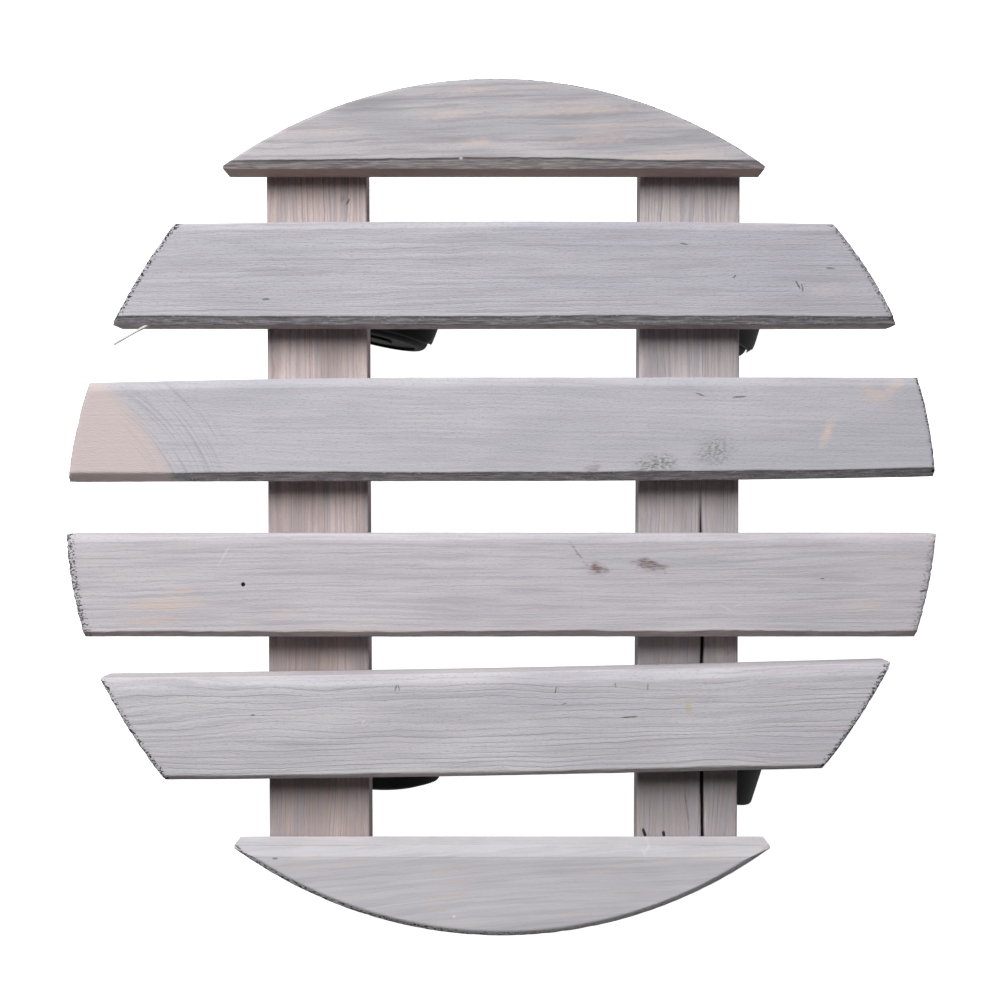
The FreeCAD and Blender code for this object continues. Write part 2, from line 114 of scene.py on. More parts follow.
# Grain and cupping of every face: lengths in millimetres, and shares
WANDER_ACROSS = 16
UNEVEN_ALONG = 90
UNEVEN_RINGS = 2.4
RISING_SHARE = 0.72
STRENGTH_ALONG, STRENGTH_ACROSS = 60, 7
STRENGTH_MIDDLE, STRENGTH_SPREAD = 0.65, 0.5
STRENGTH_LIMITS = (0.1, 1.3)
SHAPED_RELIEF = 0.5
EDGE_RELIEF = 0.25
SIDE_MARGIN = 3.0
RIM_MARGIN = 1.5
CUP_HEIGHT = 0.12
CUP_ALONG, CUP_ACROSS = 120, 40

# What each kind of noise adds to a board's seed
SEEDS = dict(
    uneven=5, strength=9, low_edge=101, high_edge=131, ripple=3, chip=171, cup=181, ragged=191, sawn=201,
)

# Whole numbers that scramble the corners of the noise
SCRAMBLE_X = 374761393
SCRAMBLE_Y = 668265263
SCRAMBLE_SEED = 974634777
SCRAMBLE_AGAIN = 1274126177
SCRAMBLE_SHIFTS = (13, 16)
WORD = 0xFFFFFFFF
HALF_WORD = 0xFFFF
LAYER_SEED = 31
LAYER_SUM = 1.5


def lattice_noise(x, y, seed):
    """Smooth noise between -1 and 1 that is the same on every run."""
    x0 = np.floor(x).astype(np.int64)
    y0 = np.floor(y).astype(np.int64)
    fx = x - x0
    fy = y - y0
    fx = fx * fx * (3 - 2 * fx)
    fy = fy * fy * (3 - 2 * fy)

    def corner(dx, dy):
        n = ((x0 + dx) * SCRAMBLE_X + (y0 + dy) * SCRAMBLE_Y + seed * SCRAMBLE_SEED) & WORD
        n = ((n ^ (n >> SCRAMBLE_SHIFTS[0])) * SCRAMBLE_AGAIN) & WORD
        n = n ^ (n >> SCRAMBLE_SHIFTS[1])
        return (n & HALF_WORD) / (HALF_WORD / 2) - 1

    low = corner(0, 0) * (1 - fx) + corner(1, 0) * fx
    high = corner(0, 1) * (1 - fx) + corner(1, 1) * fx
    return low * (1 - fy) + high * fy


def layered_noise(x, y, seed, layers=3):
    total = 0.0
    for layer in range(layers):
        finer = 2 ** layer
        total = total + lattice_noise(x * finer, y * finer, seed + LAYER_SEED * layer) / finer
    return total / LAYER_SUM


def stations(length, fine, coarse):
    """Shares of a length, close together near its two ends."""
    near = [0.0]
    step = fine
    while step < coarse:
        near.append(near[-1] + step)
        step *= STEP_GROWTH
    count = max(2, round((length - 2 * near[-1]) / coarse) + 1)
    middle = np.linspace(near[-1], length - near[-1], count)
    return np.concatenate((near[:-1], middle, length - np.array(near[:-1])[::-1])) / length


def lattice(counts):
    """Surface of a block of points: the place of each point in the block, and the quads between them."""
    index = np.full(counts, -1)
    shown = np.ones(counts, bool)
    shown[1:-1, 1:-1, 1:-1] = False
    index[shown] = np.arange(shown.sum())
    quads = []
    for axis, outward in ((0, False), (1, True), (2, False)):
        for end, first in ((0, True), (-1, False)):
            sheet = np.take(index, end, axis)
            corners = (sheet[:-1, :-1], sheet[1:, :-1], sheet[1:, 1:], sheet[:-1, 1:])
            faces = np.stack(corners, -1).reshape(-1, 4)
            quads.append(faces[:, ::-1] if first != outward else faces)
    return np.nonzero(shown), np.concatenate(quads)


def eased(distance, size, crisp, slope=0.0):
    """How far a face falls away at a distance from an edge that is rounded, or cut flat where crisp is 1."""
    near = np.clip(1 - distance / size, 0, 1)
    rounded = 1 - np.sqrt(1 - near ** 2)
    return size * ((1 - crisp) * rounded + crisp * slope * near)


class Board:
    """A board's place on the deck: its own line, and the turn and shift it was screwed down with."""

    def __init__(self, origin, heading, levels, arc, shift=0j, turn=0.0):
        self.origin = origin
        self.line = cmath.rect(1, math.radians(heading))
        self.bottom, self.top = levels
        self.radius, self.arc_drop = arc
        self.shift = shift
        self.spin = cmath.rect(1, math.radians(turn))

    def on_deck(self, local):
        return self.origin + local * self.line * self.spin + self.shift

    def on_board(self, point):
        return (point - self.shift - self.origin) / self.spin / self.line


SLAT_LEVELS = (SLAT_BOTTOM, DECK_TOP)
BATTEN_LEVELS = (BATTEN_BOTTOM, SLAT_BOTTOM)
BOARDS = {
    "slat_back_end": Board(0j, 0, SLAT_LEVELS, BACK_END_ARC, BACK_END_SHIFT),
    "slat_back": Board(OUTER_ROW * 1j, 0, SLAT_LEVELS, DECK_ARC, BACK_SHIFT),
    "slat_centre_back": Board(CENTRE_ROW * 1j, 0, SLAT_LEVELS, DECK_ARC),
    "slat_centre_front": Board(-CENTRE_ROW * 1j, 0, SLAT_LEVELS, DECK_ARC),
    "slat_front": Board(-OUTER_ROW * 1j, 0, SLAT_LEVELS, DECK_ARC, FRONT_SHIFT, FRONT_TURN),
    "slat_front_end": Board(0j, 180, SLAT_LEVELS, FRONT_END_ARC, FRONT_END_SHIFT),
    "batten_left": Board(LEFT_BATTEN, 90 + BATTEN_LEAN, BATTEN_LEVELS, BATTEN_ARC),
    "batten_right": Board(RIGHT_BATTEN, 90 - BATTEN_LEAN, BATTEN_LEVELS, BATTEN_ARC),
}

# Grain of each board, in millimetres. The pith lies across and below, and drifts along the board. ring is
# the width of a year ring and uneven how much it varies, wander and wave are how far the rings stray and
# over what length, and relief is the height of the raised grain. For the low edge and the high edge: ease
# is the width, crisp how flat it is cut, slope how steep that cut is and stray how far it wanders. belly
# widens the low edge: place along the board, reach and size. For the sawn ends: rim is the width of the
# edge, how flat it is cut and how steep, chips how rough the end is, and flat how much flatter than its arc
# the first and the last end are. reach and taper are how much longer and narrower the board is, at the low
# and the high side of its first end and then of its last end.
PLAIN_GRAIN = dict(
    belly=(0, 1, 0), rim=(1.5, 0.3, 1.1), flat=(0, 0), reach=(0, 0, 0, 0), taper=(0, 0, 0, 0),
)
GRAIN = {
    "slat_back_end": dict(
        PLAIN_GRAIN, seed=11, pith=(260, -90), drift=(0.03, 0), ring=5.2, uneven=0.4, wander=2.2, wave=75,
        relief=0.03, ease=(3.3, 2.0), crisp=(1.0, 0.2), slope=(0.62, 0.35), stray=(0.55, 0.1),
        belly=(-6, 58, 1.2), chips=0.3, reach=(1.2, 0, 0, 0),
    ),
    "slat_back": dict(
        PLAIN_GRAIN, seed=23, pith=(90, -130), drift=(0.01, 0), ring=1.3, uneven=0.4, wander=1.0, wave=60,
        relief=0.055, ease=(3.8, 3.4), crisp=(1.0, 0.8), slope=(0.7, 0.42), stray=(0.35, 0.35),
        rim=(1.2, 0.3, 1.1), chips=1.0, flat=(1.3, 0), reach=(0, 2.8, 0, 2.0), taper=(0, 1.5, 0, 1.5),
    ),
    "slat_centre_back": dict(
        PLAIN_GRAIN, seed=37, pith=(-150, -40), drift=(-0.035, 0.05), ring=2.0, uneven=0.4, wander=2.0,
        wave=70, relief=0.01, ease=(4.0, 4.0), crisp=(1.0, 0.8), slope=(0.85, 0.3), stray=(0.35, 0.3),
        chips=0.8, reach=(0.3, -0.8, 0.9, 1.6), taper=(-0.5, 2.5, 2.0, 0),
    ),
    "slat_centre_front": dict(
        PLAIN_GRAIN, seed=41, pith=(120, -80), drift=(0.012, 0), ring=2.3, uneven=0.5, wander=1.2, wave=80,
        relief=0.04, ease=(2.8, 3.6), crisp=(1.0, 0.8), slope=(0.72, 0.35), stray=(0.6, 0.3),
        belly=(60, 90, 0.5), rim=(1.2, 0.3, 1.1), chips=1.2, reach=(1.6, 1.1, 0.5, 1.2),
    ),
    "slat_front": dict(
        PLAIN_GRAIN, seed=53, pith=(70, -70), drift=(0.03, 0.03), ring=2.0, uneven=0.6, wander=3.2, wave=48,
        relief=0.08, ease=(2.2, 5.0), crisp=(1.0, 0.8), slope=(0.8, 0.28), stray=(0.45, 0.6),
        rim=(1.2, 0.3, 1.1), chips=1.0, flat=(0.9, 0.6),
        reach=(3.8, 0.9, 0.4, 2.0), taper=(1.3, -0.9, 0.5, -0.9),
    ),
    "slat_front_end": dict(
        PLAIN_GRAIN, seed=61, pith=(300, -60), drift=(0.085, 0), ring=4.6, uneven=0.4, wander=1.6, wave=60,
        relief=0.02, ease=(5.2, 2.0), crisp=(1.0, 0.2), slope=(0.31, 0.35), stray=(0.15, 0.1),
        rim=(2.6, 1.0, 0.6), chips=0.6, reach=(1.2, 0, 1.2, 0),
    ),
    "batten_left": dict(
        PLAIN_GRAIN, seed=71, pith=(240, -20), drift=(0.004, 0), ring=2.7, uneven=1.1, wander=0.5, wave=70,
        relief=0.15, ease=(0.9, 0.9), crisp=(0, 0), slope=(0, 0), stray=(0.15, 0.15), chips=0.4,
    ),
    "batten_right": dict(
        PLAIN_GRAIN, seed=83, pith=(210, -50), drift=(-0.006, 0), ring=3.0, uneven=1.1, wander=0.8, wave=60,
        relief=0.13, ease=(0.9, 0.9), crisp=(0, 0), slope=(0, 0), stray=(0.15, 0.15), chips=0.4,
    ),
}

# The open crack along one batten, as it lies on the deck
CRACKED_BOARD = "batten_right"
CRACK_X = 90.8
CRACK_ENDS = (-163.0, 14.0)
CRACK_CLOSING = (12, 40)
CRACK_WIDTH = 0.55
CRACK_DEPTH = 3.0
CRACK_WAVER = 0.5
CRACK_WAVE = 30
CRACK_SEED = 301


def ring_distance(grain, along, across, height):
    """Distance from the pith, in millimetres, with the wander of real rings."""
    wander = grain["wander"] * layered_noise(along / grain["wave"], across / WANDER_ACROSS, grain["seed"], 2)
    side = across - grain["pith"][0] - grain["drift"][0] * along
    depth = height - grain["pith"][1] - grain["drift"][1] * along
    return np.hypot(side + wander, depth)


def wandering(grain, rings, along):
    """Rings whose spacing varies along and across the board."""
    spread = grain["uneven"] * grain["ring"]
    years = rings / (UNEVEN_RINGS * grain["ring"])
    return rings + spread * lattice_noise(along / UNEVEN_ALONG, years, grain["seed"] + SEEDS["uneven"])


def raised_grain(grain, rings, along):
    """Height of the raised late wood: each ring rises slowly and drops off sharply."""
    share = rings / grain["ring"] % 1
    ridge = np.where(share < RISING_SHARE, share / RISING_SHARE, (1 - share) / (1 - RISING_SHARE))
    ridge = ridge * ridge * (3 - 2 * ridge)
    seed = grain["seed"] + SEEDS["strength"]
    patches = layered_noise(along / STRENGTH_ALONG, rings / STRENGTH_ACROSS, seed, 2)
    strength = np.clip(STRENGTH_MIDDLE + STRENGTH_SPREAD * patches, *STRENGTH_LIMITS)
    return grain["relief"] * (ridge - 0.5) * strength


def board_points(board):
    """Points of a board (along, across, share of height), gaps to rim and sides, outer sides and quads."""
    radius = board.radius
    if board.arc_drop is None:
        width = SLAT_WIDTH
        reach = math.sqrt(radius ** 2 - board.origin.imag ** 2)
    else:
        width = radius - board.arc_drop - END_SLAT_EDGE
        reach = math.sqrt(radius ** 2 - (END_SLAT_EDGE + board.arc_drop) ** 2)
    shares = [
        stations(2 * reach, END_STEP, ALONG_STEP),
        stations(width, EDGE_STEP, ACROSS_STEP),
        np.array(UPRIGHT_ROWS),
    ]
    (i, j, k), quads = lattice([len(share) for share in shares])
    u, v, w = shares[0][i], shares[1][j], shares[2][k]
    sides = np.where(j == 0, 1.0, 0.0)
    if board.arc_drop is None:
        across = (v - 0.5) * width
        foot = board.origin + across * 1j * board.line
        lead = (foot * board.line.conjugate()).real
        along = -lead + (2 * u - 1) * np.sqrt(lead ** 2 - np.abs(foot) ** 2 + radius ** 2)
        rim_gap = radius - np.abs(foot + along * board.line)
        low_gap = across + width / 2
        high_gap = width / 2 - across
        sides = sides - np.where(v == 1, 1.0, 0.0)
    else:
        along = (2 * u - 1) * (reach - TIP_CUT)
        low_gap = v * (np.sqrt(radius ** 2 - along ** 2) - board.arc_drop - END_SLAT_EDGE)
        across = END_SLAT_EDGE + low_gap
        rim_gap = radius - np.hypot(along, across + board.arc_drop)
        high_gap = np.full_like(across, radius)
    return (along, across, w), (np.maximum(rim_gap, 0), low_gap, high_gap), sides, quads


def edge_stray(along, seed):
    """How far an edge wanders along a board, as a share of its stray."""
    wide = layered_noise(along / EDGE_WAVE, 0 * along, seed)
    return wide + RIPPLE_SHARE * lattice_noise(along / RIPPLE_WAVE, 0 * along, seed + SEEDS["ripple"])


def at_ends(amounts, along, share):
    """A change of shape that grows towards a board's ends: its amounts at the low side and the high side."""
    far = along / np.abs(along).max()
    first = np.clip(-far, 0, 1) ** 2
    last = np.clip(far, 0, 1) ** 2
    low_side = (1 - share) * (amounts[0] * first + amounts[2] * last)
    high_side = share * (amounts[1] * first + amounts[3] * last)
    return low_side, high_side


def crack_share(board, along, across):
    """How deep the open crack in a batten is, from 0 to 1: it wavers and closes at its ends."""
    flat = board.on_deck(along + across * 1j)
    middle = CRACK_X + CRACK_WAVER * layered_noise(flat.imag / CRACK_WAVE, 0 * along, CRACK_SEED)
    opening = np.clip((flat.imag - CRACK_ENDS[0]) / CRACK_CLOSING[0], 0, 1)
    closing = np.clip((CRACK_ENDS[1] - flat.imag) / CRACK_CLOSING[1], 0, 1)
    return opening * closing * np.exp(-((flat.real - middle) / CRACK_WIDTH) ** 2)


def shaped_board(name):
    """A board with eased, straying edges, raised grain and rough ends: vertices, quads and surface values."""
    board = BOARDS[name]
    grain = GRAIN[name]
    (along, across, w), (rim_gap, low_gap, high_gap), sides, quads = board_points(board)
    seeds = {kind: grain["seed"] + step for kind, step in SEEDS.items()}

    belly_place, belly_reach, belly_size = grain["belly"]
    belly = belly_size * np.exp(-((along - belly_place) / belly_reach) ** BELLY_SQUARENESS)
    low_ease = grain["ease"][0] + grain["stray"][0] * edge_stray(along, seeds["low_edge"]) + belly
    high_ease = grain["ease"][1] + grain["stray"][1] * edge_stray(along, seeds["high_edge"])
    drops = [
        eased(low_gap, low_ease, grain["crisp"][0], grain["slope"][0]),
        eased(high_gap, high_ease, grain["crisp"][1], grain["slope"][1]),
        eased(rim_gap, *grain["rim"]),
    ]
    lowered = np.max(drops, axis=0)
    rise = np.max([eased(gap, BOTTOM_EASE, 0.0) for gap in (low_gap, high_gap, rim_gap)], axis=0)

    thickness = board.top - board.bottom
    rings = wandering(grain, ring_distance(grain, along, across, (w - 1) * thickness), along)
    side_gap = np.minimum(low_gap, high_gap)
    inner = np.clip(side_gap / SIDE_MARGIN, 0, 1) * np.clip(rim_gap / RIM_MARGIN, 0, 1)
    relief = SHAPED_RELIEF * raised_grain(grain, rings, along) * (EDGE_RELIEF + (1 - EDGE_RELIEF) * inner)
    chip = np.clip(lattice_noise(across / CHIP_ACROSS, along / CHIP_ALONG, seeds["chip"]) - CHIP_START, 0, 1)
    chip = grain["chips"] * chip * np.exp(-rim_gap / CHIP_FADE)
    cup = CUP_HEIGHT * layered_noise(along / CUP_ALONG, across / CUP_ACROSS, seeds["cup"], 2) * inner
    split = crack_share(board, along, across) if name == CRACKED_BOARD else 0 * along
    high = board.top - lowered + relief + cup - chip - CRACK_DEPTH * split
    low = board.bottom + rise
    height = low + w * np.maximum(high - low, LEAST_HEIGHT)

    rough = END_ROUGHNESS * grain["chips"] * np.exp(-rim_gap / ROUGH_FADE)
    ragged = rough * layered_noise(across / RAGGED_ACROSS, height / RAGGED_UP, seeds["ragged"], 2)
    sawn = SAWN_OUT + SAWN_SPREAD * layered_noise(along / SAWN_ALONG, height / SAWN_UP, seeds["sawn"], 2)
    share = low_gap / (low_gap + high_gap)
    low_taper, high_taper = at_ends(grain["taper"], along, share)
    sawn_flat = 4 * share * (1 - share) * sum(at_ends(np.repeat(grain["flat"], 2), along, share))
    longer = sum(at_ends(grain["reach"], along, share)) - sawn_flat - np.abs(ragged)
    placed = along + np.sign(along) * longer + (across + sides * sawn + low_taper - high_taper) * 1j
    flat = board.on_deck(placed)
    vertices = np.stack((flat.real, flat.imag, height), -1) * MM
    values = {
        "place": np.stack((along, across, height - board.top), -1),
        "detail": np.stack((rings, rim_gap, side_gap), -1),
        "wear": np.stack((split, low_gap - low_ease, low_gap), -1),
    }
    return vertices, quads, values


def add_mesh(name, vertices, faces, smooth):
    mesh = bpy.data.meshes.new(name)
    mesh.from_pydata(vertices, [], faces)
    mesh.polygons.foreach_set("use_smooth", [smooth] * len(mesh.polygons))
    mesh.update()
    made = bpy.data.objects.new(name, mesh)
    bpy.context.scene.collection.objects.link(made)
    return made


def add_attribute(mesh, name, values):
    layer = mesh.attributes.new(name, "FLOAT_VECTOR", "POINT")
    layer.data.foreach_set("vector", np.ascontiguousarray(values, np.float32).ravel())


def colour(red, green, blue):
    """A colour as seen on a screen, from 0 to 255, for a shader."""
    shares = [value / 255 for value in (red, green, blue)]
    return tuple(c / 12.92 if c <= 0.04045 else ((c + 0.055) / 1.055) ** 2.4 for c in shares) + (1.0,)


# From where to where on a noise, a share or a distance each trait comes in
SHOWS = dict(
    wash=(0.32, 0.68),
    late=(0.24, 0.48),
    late_patch=(0.30, 0.62),
    ridge_rise=(0.0, 0.8),
    ridge_fall=(0.86, 0.98),
    ridge_patch=(0.25, 0.6),
    fibre=(0.55, 0.35),
    grey=(0.48, 0.32),
    tan=(0.56, 0.74),
    fuzz=(0.54, 0.68),
    worn=(0.7, 0.1),
    bevel=(0.1, -0.3),
    crest=(1.8, 0.5),
    dirt_and_shade=(0.36, 0.60),
    line=(-1.1, -0.4),
    side=(0.25, 0.05),
    flecks=(0.60, 0.68),
    split=(0.05, 0.5),
    knot=(0.30, 0.55),
    lichen=(0.38, 0.66),
    scratch=(0.50, 0.62),
    sawn_rim=(0.3, 0.05),
    sawn_depth=(-1.2, -2.6),
    end_arcs=(0.15, 0.5),
    end_pores=(0.52, 0.68),
    end_to_end=(-40.0, 40.0),
    pits=(0.585, 0.64),
    pit_area=(0.1, 0.5),
    plastic_mottle=(0.35, 0.7),
    plastic_scuffs=(0.60, 0.72),
    plastic_upward=(0.55, 1.0),
    plastic_dust=(0.40, 0.65),
    zinc_mottle=(0.35, 0.65),
    zinc_spots=(0.62, 0.75),
    splinter=(0.35, 0.65),
)


class Finish:
    """A material in the making: short calls that add shader nodes and join them."""

    def __init__(self, name):
        self.material = bpy.data.materials.new(name)
        self.material.use_nodes = True
        self.tree = self.material.node_tree
        self.shader = self.tree.nodes["Principled BSDF"]

    def feed(self, socket, value):
        if isinstance(value, bpy.types.NodeSocket):
            self.tree.links.new(value, socket)
        else:
            socket.default_value = value

    def node(self, kind, inputs, **settings):
        made = self.tree.nodes.new(kind)
        for name, value in settings.items():
            setattr(made, name, value)
        for key, value in inputs.items():
            self.feed(made.inputs[key], value)
        return made

    def math(self, operation, a, b=0.0):
        return self.node("ShaderNodeMath", {0: a, 1: b}, operation=operation).outputs[0]

    def times(self, a, b):
        return self.math("MULTIPLY", a, b)

    def plus(self, a, b):
        return self.math("ADD", a, b)

    def minus(self, a, b):
        return self.math("SUBTRACT", a, b)

    def parts(self, vector):
        return self.node("ShaderNodeSeparateXYZ", {0: vector}).outputs

    def vector(self, x, y, z):
        return self.node("ShaderNodeCombineXYZ", {0: x, 1: y, 2: z}).outputs[0]

    def here(self):
        return self.node("ShaderNodeTexCoord", {}).outputs["Object"]

    def noise(self, vector, detail, roughness, scale=1.0):
        inputs = {"Vector": vector, "Scale": scale, "Detail": detail, "Roughness": roughness}
        return self.node("ShaderNodeTexNoise", inputs).outputs[0]

    def ramp(self, value, low, high):
        inputs = {"Value": value, "From Min": low, "From Max": high}
        return self.node("ShaderNodeMapRange", inputs, interpolation_type="SMOOTHSTEP").outputs[0]

    def shows(self, value, trait):
        return self.ramp(value, *SHOWS[trait])

    def mix(self, share, a, b):
        return self.node("ShaderNodeMix", {0: share, 6: a, 7: b}, data_type="RGBA").outputs[2]

    def over(self, shown, area, amount, tint):
        return self.mix(self.times(area, amount), shown, tint)

    def end(self, shown, roughness, height, distance):
        self.feed(self.shader.inputs["Base Color"], shown)
        self.feed(self.shader.inputs["Roughness"], roughness)
        bump = self.node("ShaderNodeBump", {"Strength": 1.0, "Distance": distance, "Height": height})
        self.feed(self.shader.inputs["Normal"], bump.outputs[0])
        return self.material


# Colours of the washed wood
BARE_WOOD = colour(216, 201, 198)
TAN = colour(218, 201, 193)
LATE_WOOD = colour(156, 142, 141)
DARK_FIBRE = colour(160, 156, 163)
# Dark tone for dirt on the low edges and in the pores, and painted shade on the low edges that face away from
# the lamp.
DIRT_AND_SHADE = colour(96, 92, 94)
PIT = colour(62, 58, 60)
# The crack colour is painted shade: near black in the open crack and the small cracks, where their grooves
# lie in shade.
CRACK_SHADE = colour(20, 18, 18)
LICHEN = colour(104, 108, 98)
KNOT = colour(126, 106, 100)
PALE = colour(236, 232, 228)
YELLOWED = colour(200, 192, 168)
EDGE_WOOD = colour(200, 188, 186)
WARM_EDGE = colour(202, 182, 178)
SIDE_WOOD = colour(194, 168, 156)
END_GRAIN = colour(192, 181, 177)
END_LATE = colour(160, 147, 142)

# Noise over a board: how fine it is along and across, in steps for each millimetre, its detail and roughness
FIELDS = dict(
    broad=(0.014, 0.05, 3, 0.55),
    kinks=(0.10, 0.3, 3, 0.55),
    fibre=(0.018, 0.85, 3, 0.55),
    hair=(0.12, 2.6, 2, 0.6),
    fuzz=(0.55, 1.6, 3, 0.65),
    streak=(0.010, 0.22, 3, 0.6),
    flecks=(0.6, 1.1, 2, 0.6),
    ragged=(0.30, 0.55, 3, 0.55),
    late=(0.006, 0.3, 2, 0.55),
    ridges=(0.016, 0.14, 2, 0.55),
    pores=(0.8, 1.2, 2, 0.6),
)

# Detail and roughness of the noise in scratches and sawn ends
FINE_NOISE = (2, 0.6)

# What the noises that don't change with depth add to a board's seed
FIELD_SEEDS = dict(broad=0, streak=3, kinks=4, late=7, ridges=9)

# Sizes and strengths that the finish of every board shares
NOISE_MIDDLE = 0.5
KINK_SIZE = 1.2
HALF_RING = 0.5
FUZZ_TINT = 0.6
WORN_TINT = 0.08
WORN_SCALE = 0.5
SPLIT_GROOVE = 2.0
END_PORE_SCALE = 2.4
END_PORE_TINT = 0.45
SAWN_TINT = 0.85
PIT_DEPTH = 1.0
PIT_CROWDING = 0.10
HAIR_BUMP = 0.1
FUZZ_BUMP = 1.2
RIDGE_BUMP = 5.0
GROOVE_BUMP = 1.5
BUMP_DEPTH = 0.0002
WOOD_ROUGHNESS, WOOD_MOTTLE = 0.72, 0.25
SPECULAR = 0.25

# Marks that stand out singly: colour of each kind, how soft its border is and how ragged
MARK_COLOURS = {
    "tan": TAN,
    "bare": BARE_WOOD,
    "crack": CRACK_SHADE,
    "lichen": LICHEN,
    "knot": KNOT,
    "pale": PALE,
    "yellow": YELLOWED,
    "scratch": DARK_FIBRE,
}
MARK_SOFTNESS = {"bare": 0.12, "crack": 0.35, "tan": 0.9, "knot": 0.9, "lichen": 0.9}
PLAIN_SOFTNESS = 0.5
MARK_RAGS = {"lichen": 3.0, "knot": 3.0, "tan": 2.0}
PLAIN_RAGS = 1.0
SCRATCH_BEND = 0.3
SCRATCH_COUNT = 17.0
SCRATCH_LENGTH = 0.5

# Marks on the boards: kind, x and y on the deck, half length, half width, turn in degrees, strength
MARKS = {
    "slat_back_end": [
        ("tan", 34, 173.5, 40, 2.6, 2, 0.6),
        ("tan", 42, 160.5, 26, 2.6, 3, 0.5),
        ("tan", 76, 153.4, 34, 1.8, 1, 0.8),
        ("tan", -22, 172, 18, 3.0, 8, 0.6),
        ("tan", -10, 159.5, 11, 2.8, 3, 0.6),
        ("tan", -14, 182, 16, 2.0, 4, 0.5),
        ("pale", -17.5, 152.6, 0.9, 0.8, 0, 0.9),
    ],
    "slat_back": [
        ("crack", 80, 115.2, 2.2, 0.4, -10, 0.5),
        ("crack", 102, 101, 1.0, 0.4, 50, 0.5),
        ("crack", 129.5, 97.5, 2.6, 0.35, 120, 0.6),
        ("crack", 131.5, 96, 2.4, 0.35, 100, 0.5),
        ("crack", 143, 105, 2.4, 0.35, -5, 0.5),
        ("crack", -103, 91, 2.0, 0.4, 0, 0.5),
        ("bare", 142, 95, 7.5, 3.4, 10, 0.2),
    ],
    "slat_centre_back": [
        ("bare", -202.1, 2.8, 60, 90, 35.6, 0.9),
        ("scratch", -143, 34, 34, 22, -52, 0.4),
        ("lichen", 68, 18.5, 14, 6.5, 3, 1.0),
        ("lichen", 93, 24, 13, 10, 20, 0.7),
        ("knot", 40, 16.5, 7, 2.6, 25, 0.5),
        ("tan", 142, 31.8, 9.5, 3.2, 68, 0.9),
        ("tan", 170, 52, 9, 4, 35, 0.7),
        ("tan", 162, 49, 10, 5, -30, 0.6),
        ("crack", 87, 49, 2.4, 0.35, -20, 0.5),
        ("crack", 104, 48, 3.0, 0.35, 2, 0.6),
    ],
    "slat_centre_front": [
        ("crack", -112.2, -33.8, 1.15, 1.15, 0, 1.0),
        ("pale", -120.5, -21, 6.5, 0.7, 60, 0.35),
        ("knot", 42, -27, 7, 3.2, -10, 1.0),
        ("knot", 33, -19.5, 5.5, 0.8, -54, 0.6),
        ("knot", 65, -25.4, 9.5, 3.6, -14, 1.0),
        ("crack", 140, -31.4, 1.0, 0.35, 0, 0.5),
        ("crack", 184, -36.7, 1.8, 0.45, 10, 0.7),
        ("tan", -146, -42.5, 26, 4.5, 2, 0.8),
        ("tan", -140, -36.5, 10, 2.6, 2, 0.6),
        ("tan", -110.8, -51.4, 9, 1.2, 2, 0.6),
        ("tan", -97, -46.3, 16, 2.2, 2, 0.45),
        ("tan", -71.6, -53.5, 45, 1.3, 0, 0.6),
        ("tan", -150, -49.5, 22, 3.0, 2, 0.6),
        ("tan", 91, -18.5, 10, 1.8, 8, 0.5),
        ("tan", 158, -43, 14, 5, 0, 0.35),
        ("tan", 174, -22, 10, 3, 0, 0.35),
        ("pale", 98, -44, 4.0, 0.5, -25, 0.3),
        ("pale", 104, -42.5, 3.0, 0.4, 30, 0.3),
    ],
    "slat_front": [
        ("yellow", 81.8, -87.6, 4.6, 1.8, 90, 0.9),
        ("lichen", 90, -86, 8, 2.4, 0, 0.15),
        ("crack", 24, -80, 1.8, 0.3, 80, 0.5),
        ("crack", 28, -86, 1.4, 0.3, 20, 0.4),
        ("crack", 56, -92, 4.4, 0.35, 3, 0.6),
        ("crack", 50, -78, 1.4, 0.3, 100, 0.4),
        ("crack", 64, -79, 1.6, 0.3, 85, 0.4),
        ("crack", -46, -79.5, 1.8, 0.35, 75, 0.5),
        ("crack", -44.5, -79.5, 1.6, 0.3, 105, 0.4),
        ("crack", -108, -91.5, 1.2, 0.4, 10, 0.5),
        ("pale", -60, -94, 1.6, 0.5, 60, 0.5),
    ],
    "slat_front_end": [
        ("tan", -24, -159, 14, 1.6, 8, 0.5),
        ("tan", -20, -164.5, 16, 1.5, 8, 0.5),
        ("tan", -22, -170, 14, 1.6, 9, 0.5),
        ("tan", -28, -175.5, 10, 1.4, 10, 0.45),
        ("tan", -86, -153.5, 9, 1.6, 3, 0.5),
        ("tan", -88, -157, 10, 1.3, 5, 0.4),
        ("tan", -66, -156.5, 6, 1.2, 8, 0.35),
        ("tan", 30, -178, 8, 1.4, 5, 0.5),
        ("tan", 42, -160, 12, 1.6, 8, 0.35),
        ("tan", 72, -155, 6, 1.4, 5, 0.4),
        ("tan", 95, -155, 5, 1.4, 20, 0.4),
        ("pale", -20.5, -179, 0.9, 0.9, 0, 1.0),
        ("pale", 64, -149.5, 3.4, 0.7, 55, 0.22),
        ("pale", 62, -151, 2.6, 0.6, 120, 0.2),
        ("crack", -98, -153.8, 1.5, 0.4, 0, 0.5),
    ],
    "batten_left": [
        ("crack", -69, 138, 2.2, 0.5, 60, 0.6),
        ("knot", -72, 139, 3, 2, 40, 0.4),
    ],
    "batten_right": [
        ("crack", 64.8, -147.4, 2.6, 0.8, 110, 0.95),
        ("crack", 73.6, -148, 2.0, 0.7, 100, 0.95),
        ("crack", 84, -136, 11, 0.3, 97, 0.3),
    ],
}
